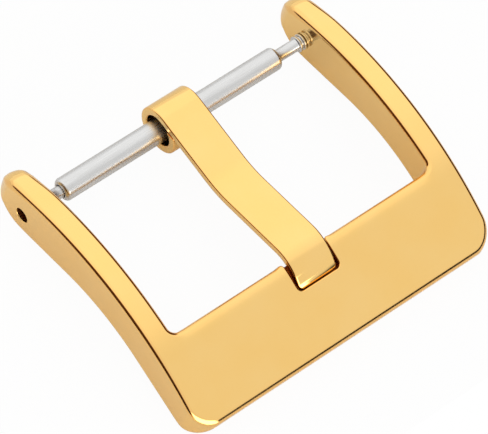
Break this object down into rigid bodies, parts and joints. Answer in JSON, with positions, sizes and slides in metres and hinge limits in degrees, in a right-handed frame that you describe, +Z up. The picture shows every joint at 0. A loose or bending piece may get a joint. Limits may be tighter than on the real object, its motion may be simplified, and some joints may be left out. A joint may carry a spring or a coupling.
{
  "type": "watch strap pin buckle",
  "caption": "Pin buckle for a 20 mm watch strap: a curved gold-plated frame with a rolled tongue that swings on a spring bar with sprung ends.",
  "frame": {"origin": "on the surface that the buckle rests on, under the middle of its outline", "axes": "+X along the spring bar, -Y towards the plate that the tongue's tip rests on, +Y towards the spring bar, +Z up, away from the strap's lining"},
  "size_m": [0.0232, 0.0194, 0.0049],
  "materials": {
    "gold_plate": "stainless steel, mirror polished and gold plated",
    "bar_steel": "drawn stainless steel, polished"
  },
  "bodies": {
    "frame": {"frame": "gold_plate"},
    "tongue": {"tongue": "gold_plate"},
    "left_plunger": {"left_plunger": "bar_steel"},
    "right_plunger": {"right_plunger": "bar_steel"},
    "spring": {"coil_spring": "bar_steel"},
    "tube": {"bar_tube": "bar_steel"}
  },
  "joints": [
    {"name": "tongue_swing", "type": "hinge", "parent": "frame", "child": "tongue", "pos_m": [0, 0.00748, 0.00168], "axis": [-1, 0, 0], "range_deg": [0, 180]},
    {"name": "left_plunger_push", "type": "slide", "parent": "frame", "child": "left_plunger", "axis": [1, 0, 0], "range_m": [0, 0.00075], "stiffness_N_per_m": 570, "springref_m": -0.0015, "deforming": ["coil_spring"]},
    {"name": "right_plunger_push", "type": "slide", "parent": "frame", "child": "right_plunger", "axis": [-1, 0, 0], "range_m": [0, 0.00075], "stiffness_N_per_m": 570, "springref_m": -0.0015, "deforming": ["coil_spring"]},
    {"name": "tube_float", "type": "slide", "parent": "frame", "child": "spring", "axis": [1, 0, 0], "range_m": [0, 0.0007]},
    {"name": "tube_spin", "type": "hinge", "parent": "spring", "child": "tube", "pos_m": [0, 0.00748, 0.00168], "axis": [1, 0, 0], "continuous": true}
  ]
}
